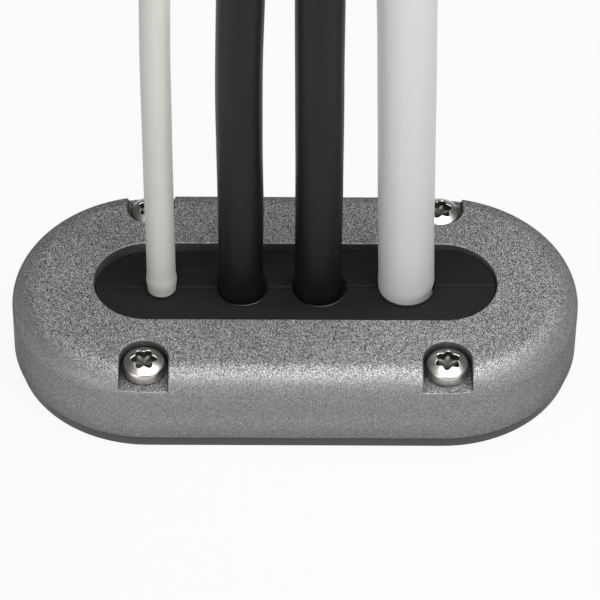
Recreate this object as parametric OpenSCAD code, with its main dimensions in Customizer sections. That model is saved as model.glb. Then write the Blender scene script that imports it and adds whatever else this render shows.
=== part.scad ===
// Deck cable seal: a cast cover screwed down over a split rubber seal, which grips four cables
// where they pass through a deck. The deck is the plane z = 0, X runs along the seal and the
// cables stand along Z. The base gasket lies on the deck, and the screws bite into it.

/* [Cover] */
// Length of the cover
cover_len = 132; // [118:1:170]
// Width of the cover
cover_wid = 64.6; // [60:0.2:84]
// Height of the cover's flat top above the deck
cover_top = 22; // [19:0.5:30]
// Thickness of the side wall at its foot
wall_t = 3; // [2:0.1:3.8]
// Thickness of the top plate
top_t = 3; // [2.4:0.1:3.6]
// How far the rounded top edge reaches inwards
edge_run = 6.5; // [5:0.5:11]
// How far the rounded top edge drops
edge_drop = 6; // [3:0.5:7]
// Draft of the cast walls, in degrees
draft = 1; // [0.5:0.25:2]
// Thickness of the ribs inside the cover
rib_t = 1.8; // [1.2:0.1:2.6]

/* [Slot and seal] */
// Metal left between the slot and each end of the cover
slot_end_rim = 19.3; // [17:0.1:24]
// Metal left between the slot and each side of the cover
slot_side_rim = 19.9; // [18:0.1:24]
// How far the seal's face lies below the cover's top
seal_recess = 1.9; // [1:0.1:2.6]
// Clearance between the seal and the cover around it
seal_gap = 0.25; // [0.1:0.05:0.4]
// How far the seal's block spreads under the rim of the slot
seal_shoulder = 4; // [2.5:0.1:4.4]
// How far the seal's foot spreads past the slot
seal_foot = 6.4; // [5.6:0.1:7]
// Thickness of the seal's foot, which lies on the deck
seal_foot_t = 6; // [5:0.1:8]
// Depth of the grooves round the seal's block, which let it be squeezed
groove_depth = 1; // [0.5:0.1:1.6]
// Height of each of those grooves
groove_h = 1.6; // [1:0.1:2.2]
// Gap between the two halves of the seal
split_gap = 0.1; // [0.04:0.02:0.3]
// Bevel along the split of the seal
split_bevel = 0.4; // [0.2:0.1:0.8]
// Clearance round a cable between the lips that grip it
lip_relief = 0.8; // [0.4:0.1:1.2]
// Height of each gripping lip
lip_h = 1.4; // [0.8:0.1:2]
// How far the seal's face falls from the split to its sides
seal_crown = 0.4; // [0.1:0.1:0.8]
// How much higher the seal's face is at the thick cable's end than at the thin cable's
seal_rise = 1.5; // [0:0.1:1.8]
// Clearance round a cable above its top lip
mouth_gap = 0.1; // [0.05:0.05:0.4]
// Width of the funnel round each black cable at the seal's face
funnel_w = 1; // [0.5:0.1:1.3]
// Depth of those funnels
funnel_depth = 1.8; // [1:0.1:2.4]
// How far the funnels lie to the thick cable's side of their cables
funnel_shift = 0.4; // [0:0.1:0.4]
// Height of the bead that rings the thin and the thick cable on the seal's face
bead_h = 0.4; // [0.1:0.05:0.6]
// Width of those beads
bead_w = 0.4; // [0.3:0.1:1]

/* [Gasket] */
// Thickness of the base gasket
gasket_t = 3.4; // [2:0.1:5]
// How far the gasket's edge lies inside the cover's foot
gasket_inset = 0.9; // [0.4:0.1:1.6]
// Height of the rib that locates the gasket inside the cover
locating_h = 1.6; // [1:0.1:2.4]
// Thickness of that rib
locating_t = 1.6; // [1:0.1:2]
// Clearance between the gasket and what it fits
gasket_gap = 0.3; // [0.2:0.05:0.5]

/* [Screws] */
// Distance from the cover's end to a screw's centre
screw_end_inset = 31.7; // [29:0.1:34]
// Distance from the cover's side to a screw's centre
screw_side_inset = 7.5; // [7:0.1:8.5]
// Width of the pocket round a screw head
pocket_wid = 11.2; // [10.6:0.1:12]
// Depth of the pocket below the cover's top
pocket_depth = 4; // [3:0.1:5]
// Metal under and beside the pocket
pocket_wall = 2.2; // [1.6:0.1:2.6]
// Diameter of the screw head
head_d = 9.6; // [9:0.1:10]
// Height of the screw head
head_h = 4.2; // [3:0.1:4.4]
// Height of the head's straight rim
head_rim = 2.6; // [1.2:0.1:2.8]
// Width of the six-lobe drive across its lobes
drive_d = 5.8; // [4.4:0.1:6]
// Depth of the drive
drive_depth = 2.2; // [1.5:0.1:2.6]
// Diameter of the screw's plain neck
neck_d = 4.2; // [3.8:0.1:4.4]
// Outer diameter of the thread that bites into the deck
thread_d = 4.8; // [4.5:0.1:5]
// Length of the full thread below the deck
thread_len = 12; // [8:0.5:20]
// Length of the screw's point
point_len = 2.8; // [2:0.1:4]
// Diameter of the clearance holes for the screws
screw_hole_d = 5.4; // [5.2:0.1:6]
// Diameter of the boss under each screw
boss_d = 10; // [9:0.1:11]

/* [Cables] */
// Diameter of the thin cable
thin_d = 6.7; // [5:0.1:8]
// Diameter of the left black cable
black_left_d = 10.4; // [8:0.1:11.5]
// Diameter of the right black cable
black_right_d = 10.8; // [8:0.1:11.5]
// Diameter of the thick cable
thick_d = 12.9; // [10:0.1:14]

/* [Hidden] */
$fn = 64;
through = 1;        // how far a cutter runs past what it cuts
edge_steps = 18;    // facets in the rounded top edge
lip_count = 3;      // lips that grip each cable
groove_count = 3;   // grooves round the seal's block
cable_sides = 12;   // facets round a cable

// The routes that the cables' centrelines follow, from under the deck to where they are let go
thin_route = [[-31, 0, -8], [-31, 0, 12], [-31, 0, 32], [-31, 0, 52], [-30.9, 0, 72],
              [-30.8, 0, 92], [-30.3, 0, 114]];
black_left_route = [[-12.7, 0, -8], [-12.7, 0, 20], [-12.6, 0, 45], [-12.8, 0, 65],
                    [-12.8, 0, 85], [-12.4, 0, 104], [-12.1, 0, 116]];
black_right_route = [[5.1, 0, -8], [5.1, 0, 20], [5.1, 0, 44], [4.9, 0, 68], [4.6, 0, 92],
                     [4.4, 0, 116]];
thick_route = [[25.7, 0, -8], [25.7, 0, 18], [24.9, 0, 42], [24.1, 0, 68], [23.3, 0, 93],
               [22.4, 0, 117]];

// Each cable as its diameter, its route and whether the seal has a funnel round it
thin_cable = [thin_d, thin_route, false];
black_left_cable = [black_left_d, black_left_route, true];
black_right_cable = [black_right_d, black_right_route, true];
thick_cable = [thick_d, thick_route, false];
cables = [thin_cable, black_left_cable, black_right_cable, thick_cable];

// Racetrack outlines are named by the half width of their round ends. Their end centres stay put.
end_x = (cover_len - cover_wid) / 2;
cover_r = cover_wid / 2;
cavity_top = cover_top - top_t;
slot_len = cover_len - 2 * slot_end_rim;
slot_wid = cover_wid - 2 * slot_side_rim;
seal_face = cover_top - seal_recess;
skirt_len = slot_len + 2 * (seal_shoulder + seal_gap);
skirt_wid = slot_wid + 2 * (seal_shoulder + seal_gap);
foot_len = slot_len + 2 * seal_foot;
foot_wid = slot_wid + 2 * seal_foot;
screw_x = cover_len / 2 - screw_end_inset;
screw_y = cover_wid / 2 - screw_side_inset;
pocket_floor = cover_top - pocket_depth;
cavity_r = cover_r - wall_t;

// Moves what follows to each of the four screws, turned so that its -Y side faces outwards
module at_each_screw() {
    for (x = [-screw_x, screw_x], side = [0, 180])
        translate([x, side == 0 ? -screw_y : screw_y, 0]) rotate(side) children();
}

// A flat racetrack outline
module racetrack(len, wid) {
    square([len - wid, wid], center = true);
    for (s = [-1, 1]) translate([s * (len - wid) / 2, 0]) circle(d = wid);
}

// A racetrack slab between two heights
module slab(len, wid, low, high) {
    translate([0, 0, low]) linear_extrude(high - low) racetrack(len, wid);
}

// A racetrack solid whose wall follows a profile of [distance from the end's centre, height]
module swept(profile, centre_x) {
    for (s = [-1, 1]) translate([s * centre_x, 0, 0])
        rotate(-90 * s) rotate_extrude(angle = 180) polygon(profile);
    rotate([90, 0, 90]) translate([0, 0, -centre_x]) linear_extrude(2 * centre_x)
        union() {
            polygon(profile);
            mirror([1, 0]) polygon(profile);
        }
}

// Wall profile with draft, then a quarter ellipse that rolls over into a flat top by equal turns
function wall_profile(foot_r, low, high, run, drop, steps) =
    let (shoulder_r = foot_r - (high - drop - low) * tan(draft))
    concat([[0, low], [foot_r, low]],
           [for (i = [0:steps])
               let (turn = 90 * i / steps, a = atan2(drop * sin(turn), run * cos(turn)))
               [shoulder_r - run * (1 - cos(a)), high - drop + drop * sin(a)]],
           [[0, high]]);

// What fills a screw's pocket from its floor upwards: round inside, open to the cover's side
module pocket(wid, low) {
    translate([0, 0, low]) cylinder(d = wid, h = cover_top - low + through);
    translate([-wid / 2, -screw_side_inset - through, low])
        cube([wid, screw_side_inset + through, cover_top - low + through]);
}

// The boss that carries a screw down to the gasket, tied to the side wall by a web
module boss(extra) {
    translate([0, 0, gasket_t]) cylinder(d = boss_d + 2 * extra, h = pocket_floor - gasket_t);
    translate([-boss_d / 4 - extra, -screw_side_inset, gasket_t])
        cube([boss_d / 2 + 2 * extra, screw_side_inset, pocket_floor - gasket_t]);
}

// The collar inside the cover that holds the seal's block upright and presses on its foot
module skirt() {
    difference() {
        slab(foot_len, foot_wid, seal_foot_t, cover_top);
        slab(skirt_len, skirt_wid, seal_foot_t - through, cover_top + through);
    }
}

// Ribs between the collar and the side wall
module ribs() {
    rib_low = seal_foot_t + 2;
    rib_h = cover_top - rib_low;
    for (x = [-end_x / 2.2, 0, end_x / 2.2], s = [-1, 1])
        translate([x - rib_t / 2, s > 0 ? foot_wid / 2 - rib_t / 2 : -cover_r, rib_low])
            cube([rib_t, cover_r - foot_wid / 2 + rib_t / 2, rib_h]);
    for (s = [0, 180], a = [-38, 0, 38]) rotate(s) translate([end_x, 0, 0]) rotate(a)
        translate([foot_wid / 2 - rib_t / 2, -rib_t / 2, rib_low])
            cube([cover_r - foot_wid / 2 + rib_t / 2, rib_t, rib_h]);
}

module cavity() {
    swept(wall_profile(cavity_r, gasket_t - through, cavity_top, edge_run - wall_t / 2,
                       edge_drop - top_t / 2, 6), end_x);
}

module deck_cover() {
    color([0.52, 0.52, 0.52]) difference() {
        swept(wall_profile(cover_r, gasket_t, cover_top, edge_run, edge_drop, edge_steps), end_x);
        difference() {
            cavity();
            skirt();
            ribs();
            at_each_screw() boss(0);
            at_each_screw() pocket(pocket_wid + 2 * pocket_wall, pocket_floor - pocket_wall);
        }
        slab(slot_len, slot_wid, cavity_top - through, cover_top + through);
        at_each_screw() pocket(pocket_wid, pocket_floor);
        at_each_screw() cylinder(d = screw_hole_d, h = cover_top);
    }
}

// A funnel in the seal's face round one cable. Its narrow end lies inside the cable's bore.
module funnel(d) {
    narrow_d = d - 2 * funnel_shift - 0.2;
    flare = (d + 2 * funnel_w - narrow_d) / funnel_depth;
    translate([funnel_shift, 0, seal_face - funnel_depth])
        cylinder(d1 = narrow_d, d2 = narrow_d + flare * (funnel_depth + through),
                 h = funnel_depth + through);
}

// What the seal leaves free for one cable: a wide bore with three narrow lips that grip it
module channel(cable) {
    d = cable[0];
    lips = [for (i = [0:lip_count - 1]) (i + 0.5) * (seal_face - lip_h) / lip_count];
    ends = concat([-through], [for (z = lips) z + lip_h]);
    starts = concat(lips, [cover_top]);
    translate([cable[1][0][0], 0, 0]) {
        cylinder(d = d, h = seal_face);
        for (i = [0:lip_count]) translate([0, 0, ends[i]])
            cylinder(d = d + 2 * (i < lip_count ? lip_relief : mouth_gap), h = starts[i] - ends[i]);
        if (cable[2]) funnel(d);
    }
}

// Shears what follows so that its top rises along the seal
module rising() {
    multmatrix([[1, 0, 0, 0], [0, 1, 0, 0], [seal_rise / slot_len, 0, 1, 0], [0, 0, 0, 1]])
        children();
}

// What lies under the seal's face, which falls like a low roof from the split to its sides
module under_roof(rise) {
    half_len = slot_len / 2;
    half_wid = slot_wid / 2;
    ridge = seal_face + rise;
    rising() rotate([90, 0, 90]) translate([0, 0, -half_len]) linear_extrude(2 * half_len)
        polygon([[-half_wid, 0], [half_wid, 0], [half_wid, ridge - seal_crown], [0, ridge],
                 [-half_wid, ridge - seal_crown]]);
}

// The raised bead round a cable's hole on the seal's face, where it has no funnel
module bead(cable) {
    intersection() {
        translate([cable[1][0][0], 0, cavity_top])
            cylinder(d = cable[0] + 2 * (mouth_gap + bead_w), h = cover_top - cavity_top);
        under_roof(bead_h);
    }
}

// The block inside the collar, with grooves all round it
module grooved_block() {
    len = skirt_len - 2 * seal_gap;
    wid = skirt_wid - 2 * seal_gap;
    pitch = (cavity_top - seal_foot_t) / (groove_count + 1);
    difference() {
        slab(len, wid, seal_foot_t - through, cavity_top);
        for (i = [1:groove_count]) difference() {
            low = seal_foot_t + i * pitch - groove_h / 2;
            slab(len + through, wid + through, low, low + groove_h);
            slab(len - 2 * groove_depth, wid - 2 * groove_depth, low - through,
                 low + groove_h + through);
        }
    }
}

// The whole seal before it is split
module seal_block() {
    difference() {
        union() {
            slab(foot_len - 2 * seal_gap, foot_wid - 2 * seal_gap, 0, seal_foot_t);
            grooved_block();
            intersection() {
                slab(slot_len - 2 * seal_gap, slot_wid - 2 * seal_gap, cavity_top - through,
                     cover_top);
                under_roof(0);
            }
            for (c = cables) if (!c[2]) bead(c);
        }
        for (c = cables) channel(c);
    }
}

// Keeps the part of the seal in front of the split, with a bevel along its upper edge
module front_of_split() {
    half_len = cover_len / 2;
    back_y = -split_gap / 2;
    rising() rotate([90, 0, 90]) translate([0, 0, -half_len]) linear_extrude(2 * half_len)
        polygon([[back_y, -seal_rise - through], [back_y, seal_face - split_bevel],
                 [back_y - split_bevel, seal_face], [back_y - split_bevel, cover_top],
                 [-cover_r, cover_top], [-cover_r, -seal_rise - through]]);
}

module seal_front_half() {
    color([0.16, 0.16, 0.16]) intersection() {
        seal_block();
        front_of_split();
    }
}

module seal_back_half() {
    color([0.12, 0.12, 0.12]) intersection() {
        seal_block();
        mirror([0, 1, 0]) front_of_split();
    }
}

module base_gasket() {
    rib_r = cavity_r - gasket_gap - locating_h * tan(draft);
    color([0.3, 0.3, 0.3]) {
        difference() {
            union() {
                slab(cover_len - 2 * gasket_inset, cover_wid - 2 * gasket_inset, 0, gasket_t);
                difference() {
                    slab(2 * (end_x + rib_r), 2 * rib_r, gasket_t / 2, gasket_t + locating_h);
                    at_each_screw() boss(gasket_gap);
                    slab(2 * (end_x + rib_r - locating_t), 2 * (rib_r - locating_t), gasket_t,
                         gasket_t + locating_h + through);
                }
            }
            slab(foot_len, foot_wid, -through, gasket_t + through);
            at_each_screw() translate([0, 0, -through])
                cylinder(d = screw_hole_d, h = gasket_t + 2 * through);
        }
    }
}

// A six-lobe drive: a round socket with six scallops left standing in it
module drive_outline() {
    scallop_r = drive_d * 0.17;
    difference() {
        circle(d = drive_d);
        for (a = [0:60:300]) rotate(a + 30) translate([drive_d * 0.36 + scallop_r, 0])
            circle(r = scallop_r);
    }
}

module cover_screw() {
    dome_rise = head_h - head_rim;
    dome_r = (pow(head_d / 2, 2) + pow(dome_rise, 2)) / (2 * dome_rise);
    translate([0, 0, pocket_floor]) difference() {
        intersection() {
            cylinder(d = head_d, h = head_h);
            translate([0, 0, head_h - dome_r]) sphere(r = dome_r);
        }
        translate([0, 0, head_h - drive_depth]) linear_extrude(drive_depth + through)
            drive_outline();
    }
    cylinder(d = neck_d, h = pocket_floor);
    translate([0, 0, -thread_len]) cylinder(d = thread_d, h = thread_len);
    translate([0, 0, -thread_len - point_len])
        cylinder(r1 = 0.2, r2 = thread_d / 2, h = point_len);
}

module cover_screws() {
    color([0.78, 0.77, 0.74]) at_each_screw() cover_screw();
}

// One cable as a tube of flat rings, one at each point of its route
module cable(cable) {
    r = cable[0] / 2;
    route = cable[1];
    rings = len(route);
    points = [for (p = route, i = [0:cable_sides - 1]) let (a = 360 * i / cable_sides)
        p + r * [cos(a), sin(a), 0]];
    walls = [for (k = [0:rings - 2], i = [0:cable_sides - 1])
        let (j = (i + 1) % cable_sides, low = k * cable_sides, high = low + cable_sides)
        [low + i, high + i, high + j, low + j]];
    foot = [for (i = [0:cable_sides - 1]) i];
    head = [for (i = [cable_sides - 1:-1:0]) (rings - 1) * cable_sides + i];
    polyhedron(points, concat(walls, [foot, head]));
}

module cable_thin_grey() { color([0.78, 0.77, 0.74]) cable(thin_cable); }
module cable_black_left() { color([0.17, 0.17, 0.17]) cable(black_left_cable); }
module cable_black_right() { color([0.15, 0.15, 0.15]) cable(black_right_cable); }
module cable_thick_white() { color([0.8, 0.8, 0.81]) cable(thick_cable); }

deck_cover();
seal_front_half();
seal_back_half();
base_gasket();
cover_screws();
cable_thin_grey();
cable_black_left();
cable_black_right();
cable_thick_white();
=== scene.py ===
# %% [markdown]
# # The looks of a deck cable seal
# On a boat, cables leave the deck through a fitting like this one. A cast metal cover is screwed
# down over a split block of rubber, and the block grips each cable so that no water gets in.
# The CAD model already holds every piece at its true size. This lesson gives the pieces the
# surfaces that a camera sees: rounded cast edges, rolled screw drives, jackets and grain.
# All shapes are worked out in millimetres, and become metres when a mesh is made.

# %% The frame, and the tools that the cells below use
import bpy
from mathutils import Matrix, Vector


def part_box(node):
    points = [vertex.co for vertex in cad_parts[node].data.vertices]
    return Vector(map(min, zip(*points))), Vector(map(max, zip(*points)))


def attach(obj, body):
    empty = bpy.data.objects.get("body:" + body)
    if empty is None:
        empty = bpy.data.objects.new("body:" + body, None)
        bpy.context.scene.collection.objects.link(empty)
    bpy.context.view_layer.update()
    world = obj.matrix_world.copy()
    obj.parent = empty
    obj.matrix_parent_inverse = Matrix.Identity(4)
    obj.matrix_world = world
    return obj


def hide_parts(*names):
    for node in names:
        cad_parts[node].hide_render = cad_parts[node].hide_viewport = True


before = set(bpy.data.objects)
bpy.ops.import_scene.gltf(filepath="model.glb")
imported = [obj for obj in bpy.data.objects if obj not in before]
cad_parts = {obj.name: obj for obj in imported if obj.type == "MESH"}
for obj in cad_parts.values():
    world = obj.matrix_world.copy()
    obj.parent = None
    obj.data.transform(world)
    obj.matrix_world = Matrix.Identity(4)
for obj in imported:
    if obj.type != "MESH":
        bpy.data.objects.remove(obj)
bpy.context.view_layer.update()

import bmesh
import bpy
import numpy as np
from mathutils import Matrix
from mathutils.geometry import delaunay_2d_cdt

MM = 0.001               # metres in a millimetre
BODY = "root"            # nothing on this object moves, so every piece rides on the one body
print("nodes:", ", ".join(sorted(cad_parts)))

# %% [markdown]
# ## The camera
# The photograph looks down from the front at 45 degrees through a long lens, which keeps the
# upright cables nearly parallel. The camera could be aimed by hand, but a camera that is worked
# out from angles can be read and changed. It is also rolled by less than a degree, because the
# fitting lies slightly turned in the photograph.

# %% The camera
ELEVATION, AZIMUTH, ROLL = np.radians([45.27, -0.785, 0.803])
DISTANCE = 679.6
LOOKS_AT = np.array([1.091, 0.0, 15.711])
LENS, SENSOR = 175.0, 36.0

away = np.array([np.sin(AZIMUTH) * np.cos(ELEVATION), -np.cos(AZIMUTH) * np.cos(ELEVATION),
                 np.sin(ELEVATION)])
level = np.array([np.cos(AZIMUTH), np.sin(AZIMUTH), 0.0])
upright = np.cross(away, level)
right = np.cos(ROLL) * level + np.sin(ROLL) * upright
up = np.cos(ROLL) * upright - np.sin(ROLL) * level
eye = (LOOKS_AT + DISTANCE * away) * MM

camera = bpy.data.objects.new("camera", bpy.data.cameras.new("camera"))
camera.data.lens, camera.data.sensor_width = LENS, SENSOR
camera.data.clip_start, camera.data.clip_end = 0.01, 30
camera.matrix_world = Matrix(np.vstack([np.column_stack([right, up, away, eye]),
                                        [0, 0, 0, 1]]).tolist())
bpy.context.scene.collection.objects.link(camera)
bpy.context.scene.camera = camera
print("camera at", np.round(eye, 4))

# %% [markdown]
# ## Node groups for the finishes
# A real surface is never one flat colour. Four small groups give what the finishes share:
# grain, where each cast grain is tilted its own way, with painted sparkle that is strongest on
# faces that look up, where the lamp's glints fall; a fine texture of tiny bumps; a soft mottling
# over centimetres; and painted shade in hollows, where shadow falls. Image textures could do
# it too, but these follow the surface in three dimensions, so no seam shows and the grain has the
# same size everywhere. A cell's tone goes with the square of its random number, so that a few
# grains are painted bright, as if they caught the light, while most stay dull.

# %% Small helpers that add shader nodes
def add_node(tree, kind, inputs=(), **settings):
    """A shader node in a tree. An input's value is a number or colour, or another node's
    output, which is then linked to it."""
    made = tree.nodes.new("ShaderNode" + kind)
    for key, value in settings.items():
        setattr(made, key, value)
    for key, value in dict(inputs).items():
        if isinstance(value, bpy.types.NodeSocket):
            tree.links.new(value, made.inputs[key])
        else:
            made.inputs[key].default_value = value
    return made


def combine(tree, operation, a, b):
    """The output of a Math node that takes two values, such as their product."""
    return add_node(tree, "Math", {0: a, 1: b}, operation=operation).outputs[0]


def start_group(name, inputs, outputs):
    """A node group with named number inputs and named outputs, and the sockets at its ends."""
    group = bpy.data.node_groups.new(name, "ShaderNodeTree")
    for label, usual in inputs.items():
        socket = group.interface.new_socket(label, in_out="INPUT", socket_type="NodeSocketFloat")
        socket.default_value = usual
    for label, kind in outputs.items():
        group.interface.new_socket(label, in_out="OUTPUT", socket_type="NodeSocket" + kind)
    given = group.nodes.new("NodeGroupInput").outputs
    return group, given, group.nodes.new("NodeGroupOutput").inputs


def tone_around_one(group, value, contrast):
    """Nodes for 1 + contrast * (2 * value - 1): a tone whose mean is 1 if the value's is 0.5."""
    swing = add_node(group, "Math", {0: value, 1: 2.0, 2: -1.0}, operation="MULTIPLY_ADD")
    return add_node(group, "Math", {0: swing.outputs[0], 1: contrast, 2: 1.0},
                    operation="MULTIPLY_ADD").outputs[0]


# %% The grain, with painted sparkle
SQUARE_GAIN = 1.5        # brings the mean of a squared random number back to one half
STEEP = 0.75             # a surface whose normal climbs less than this counts as a wall
WALL_GRAIN = 0.4         # the share of the grain's contrast that a wall keeps

grain_and_sparkle_group, given, gives = start_group(
    "cast_grain_and_sparkle", {"Grains per metre": 2800.0, "Tilt": 0.3, "Contrast": 0.2},
    {"Tone": "Float", "Normal": "Vector"})
place = add_node(grain_and_sparkle_group, "TexCoord").outputs["Object"]
cells = add_node(grain_and_sparkle_group, "TexVoronoi",
                 {"Vector": place, "Scale": given["Grains per metre"]}).outputs["Color"]
lean = add_node(grain_and_sparkle_group, "VectorMath", {0: cells, 1: (0.5, 0.5, 0.5)}, operation="SUBTRACT")
lean = add_node(grain_and_sparkle_group, "VectorMath", {0: lean.outputs[0], "Scale": given["Tilt"]},
                operation="SCALE")
facing = add_node(grain_and_sparkle_group, "NewGeometry").outputs["Normal"]
tilted = add_node(grain_and_sparkle_group, "VectorMath", {0: facing, 1: lean.outputs[0]}, operation="ADD")
tilted = add_node(grain_and_sparkle_group, "VectorMath", {0: tilted.outputs[0]}, operation="NORMALIZE")
shade = add_node(grain_and_sparkle_group, "SeparateColor", {"Color": cells}).outputs["Green"]
# painted sparkle: squaring the cell's tone paints a few grains bright, as if they caught the light
sparkle = combine(grain_and_sparkle_group, "MULTIPLY", shade, shade)
sparkle = combine(grain_and_sparkle_group, "MULTIPLY", sparkle, SQUARE_GAIN)
# the sparkle is painted strongest on faces that look up, where the lamp's glints fall, and weaker
# on walls
looks_up = add_node(grain_and_sparkle_group, "SeparateXYZ", {"Vector": facing}).outputs["Z"]
stronger = add_node(grain_and_sparkle_group, "MapRange",
                    {"Value": looks_up, "From Min": STEEP, "To Min": WALL_GRAIN}).outputs[0]
contrast = combine(grain_and_sparkle_group, "MULTIPLY", given["Contrast"], stronger)
grain_and_sparkle_group.links.new(tone_around_one(grain_and_sparkle_group, sparkle, contrast), gives["Tone"])
grain_and_sparkle_group.links.new(tilted.outputs[0], gives["Normal"])
print("grain group:", len(grain_and_sparkle_group.nodes), "nodes")

# %% The fine texture and the mottling
texture_group, given, gives = start_group(
    "fine_texture", {"Bumps per metre": 2500.0, "Lengthwise": 1.0, "Contrast": 0.1},
    {"Tone": "Float", "Height": "Float"})
place = add_node(texture_group, "TexCoord").outputs["Object"]
stretch = add_node(texture_group, "CombineXYZ", {"X": 1.0, "Y": 1.0, "Z": given["Lengthwise"]})
place = add_node(texture_group, "VectorMath", {0: place, 1: stretch.outputs[0]},
                 operation="MULTIPLY")
bumps = add_node(texture_group, "TexNoise",
                 {"Vector": place.outputs[0], "Scale": given["Bumps per metre"], "Detail": 3.0})
texture_group.links.new(tone_around_one(texture_group, bumps.outputs[0], given["Contrast"]),
                        gives["Tone"])
texture_group.links.new(bumps.outputs[0], gives["Height"])

mottle_group, given, gives = start_group(
    "soft_mottling", {"Patches per metre": 60.0, "Contrast": 0.1}, {"Tone": "Float"})
place = add_node(mottle_group, "TexCoord").outputs["Object"]
patches = add_node(mottle_group, "TexNoise",
                   {"Vector": place, "Scale": given["Patches per metre"], "Detail": 4.0})
mottle_group.links.new(tone_around_one(mottle_group, patches.outputs[0], given["Contrast"]),
                       gives["Tone"])
print("texture group:", len(texture_group.nodes), "nodes; mottling group:",
      len(mottle_group.nodes), "nodes")

# %% Painted shade in hollows
HOLLOW_RAYS = 8          # rays that feel for a hollow at each place

hollow_shade_group, given, gives = start_group(
    "painted_hollow_shade", {"Reach": 0.01, "Depth": 0.8}, {"Tone": "Float"})
# painted shade: ambient occlusion darkens the colour where shadow falls, in hollows and near the
# floor
openness = add_node(hollow_shade_group, "AmbientOcclusion", {"Distance": given["Reach"]},
                    samples=HOLLOW_RAYS).outputs["AO"]
closed = combine(hollow_shade_group, "SUBTRACT", 1.0, openness)
loss = combine(hollow_shade_group, "MULTIPLY", closed, given["Depth"])
hollow_shade_group.links.new(combine(hollow_shade_group, "SUBTRACT", 1.0, loss), gives["Tone"])
print("all groups:", ", ".join(group.name for group in bpy.data.node_groups))

# %% A finish made from the groups
def use_group(tree, group, *values):
    """Places a group in a material with its own values, in the order of its inputs."""
    placed = add_node(tree, "Group", node_tree=group)
    for socket, value in zip(placed.inputs, values):
        socket.default_value = value
    return placed.outputs


def make_finish(name, colour, roughness, texture, bump, mottling, grain=None, hollows=None,
                **sockets):
    """A Principled material. Its colour is multiplied by the tones of its groups, which may hold
    painted sparkle in the grain and painted shade in hollows, and its roughness by the mottling.
    The texture's height is a bump, whose depth is in millimetres, on top of the grain's tilted
    normals. Other sockets of the shader are set by name."""
    finish = bpy.data.materials.new(name)
    finish.use_nodes = True
    tree = finish.node_tree
    shader = tree.nodes["Principled BSDF"].inputs
    for label, value in sockets.items():
        shader[label.replace("_", " ")].default_value = value
    mottled = use_group(tree, mottle_group, *mottling)["Tone"]
    fine = use_group(tree, texture_group, *texture)
    tone = combine(tree, "MULTIPLY", mottled, fine["Tone"])
    relief = {"Height": fine["Height"], "Distance": bump * MM, "Strength": 1.0}
    if grain:
        grains = use_group(tree, grain_and_sparkle_group, *grain)
        tone = combine(tree, "MULTIPLY", tone, grains["Tone"])
        relief["Normal"] = grains["Normal"]
    if hollows:
        hollow_shade_tone = use_group(tree, hollow_shade_group, *hollows)["Tone"]
        tone = combine(tree, "MULTIPLY", tone, hollow_shade_tone)
    toned = add_node(tree, "VectorMath", {0: colour, "Scale": tone}, operation="SCALE")
    tree.links.new(toned.outputs[0], shader["Base Color"])
    tree.links.new(combine(tree, "MULTIPLY", mottled, roughness), shader["Roughness"])
    tree.links.new(add_node(tree, "Bump", relief).outputs[0], shader["Normal"])
    return finish


# %% [markdown]
# ## A skin over rings
# Cables, their cores and the screws are all round, so one helper serves them. A shape is a grid
# of points: ring number one way, place round the ring the other way. Blender could spin a
# profile, but a grid can also carry a six-lobed hole or a thread, which no plain spin makes.

# %% A skin over rings, and a piece made of skins
def wrap(rings):
    """Points and faces of a closed skin. rings[k, i] is point i of ring k, and rings climb while
    their points run anticlockwise. Neighbouring rings are joined by four-sided faces, and the
    first and last rings are closed by fans round their middle points."""
    count, sides = rings.shape[:2]
    row = np.arange(count - 1)[:, None] * sides
    here = np.arange(sides)
    there = (here + 1) % sides
    walls = np.stack([row + here, row + there, row + sides + there, row + sides + here], -1)
    last = (count - 1) * sides
    fans = [np.stack([there, here, np.full(sides, count * sides)], -1),
            np.stack([last + here, last + there, np.full(sides, count * sides + 1)], -1)]
    points = np.vstack([rings.reshape(-1, 3), rings[[0, -1]].mean(1)])
    return points, walls.reshape(-1, 4).tolist() + np.vstack(fans).tolist()


def finish_piece(name, mesh, materials, stands_for):
    """Puts a mesh into the scene as a piece in place of a CAD node, and prints its size. A closed
    skin that faces outwards has a positive volume and no open edge."""
    piece = bpy.data.objects.new(name, mesh)
    bpy.context.scene.collection.objects.link(piece)
    for made_of in materials:
        mesh.materials.append(made_of)
    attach(piece, BODY)
    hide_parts(stands_for)
    shell = bmesh.new()
    shell.from_mesh(mesh)
    open_edges = sum(not edge.is_manifold for edge in shell.edges)
    triangles = sum(len(face.verts) - 2 for face in shell.faces)
    print(f"{name}: {triangles} triangles, {shell.calc_volume(signed=True) / MM ** 3:.0f} mm3, "
          f"{open_edges} open edges")
    shell.free()
    return piece


def make_piece(name, parts, materials, stands_for, crisp=35):
    """One object from closed parts, each (points in mm, faces, index of the material of all its
    faces or of each). Edges that turn more than the crisp angle, in degrees, stay sharp."""
    starts = np.cumsum([0] + [len(points) for points, _, _ in parts]).tolist()
    faces = [[start + corner for corner in face]
             for start, (_, part_faces, _) in zip(starts, parts) for face in part_faces]
    mesh = bpy.data.meshes.new(name)
    mesh.from_pydata(np.vstack([points for points, _, _ in parts]) * MM, [], faces)
    mesh.polygons.foreach_set("material_index", np.concatenate(
        [np.full(len(part_faces), index) for _, part_faces, index in parts]).astype(np.int32))
    mesh.shade_smooth()
    mesh.set_sharp_from_angle(angle=np.radians(crisp))
    return finish_piece(name, mesh, materials, stands_for)


# %% [markdown]
# ## The cables
# Four cables stand up out of the seal and leave the picture at its top, so each is cut just
# above it. A Blender curve with a bevel would be quick, but it can't be nicked, nicely cut or
# pinched by the seal. So each cable is a tube of level rings round a smooth route, whose radius
# may change with height and with the angle round the cable. The routes repeat the CAD's points.

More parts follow.
